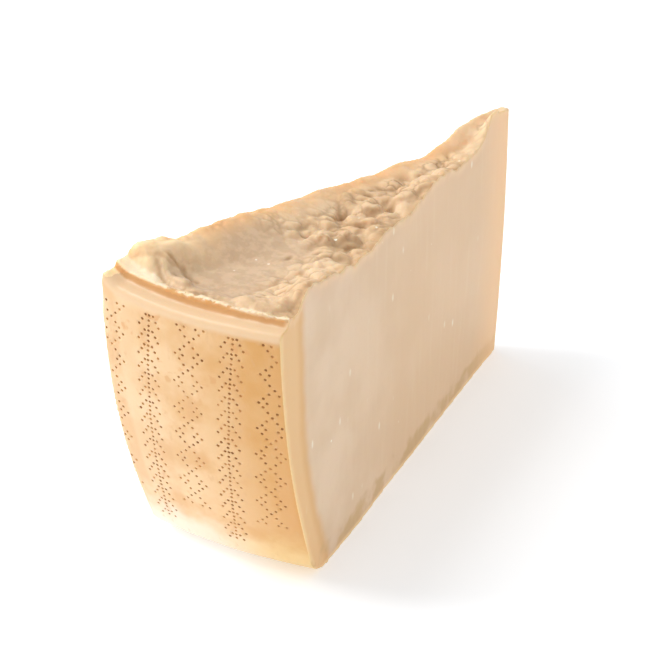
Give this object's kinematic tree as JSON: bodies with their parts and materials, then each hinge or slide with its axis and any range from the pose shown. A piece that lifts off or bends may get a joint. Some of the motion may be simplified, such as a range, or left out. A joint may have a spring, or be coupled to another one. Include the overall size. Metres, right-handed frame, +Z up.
{
  "type": "hard cheese wedge",
  "caption": "Wedge of aged hard cheese with a barrel-shaped rind in front, flat wire-cut sides and a rough, broken top.",
  "frame": {"origin": "middle of the wedge's outline, on the surface that it stands on", "axes": "+Z up; the rind faces -Y and the thin tip points along +Y; +X to the right as seen from the rind"},
  "size_m": [0.0734, 0.2104, 0.132],
  "materials": {
    "cheese": "waxy, slightly translucent straw-coloured paste with a smooth, faintly glossy golden rind"
  },
  "bodies": {
    "root": {"cheese_wedge": "cheese"}
  },
  "joints": []
}
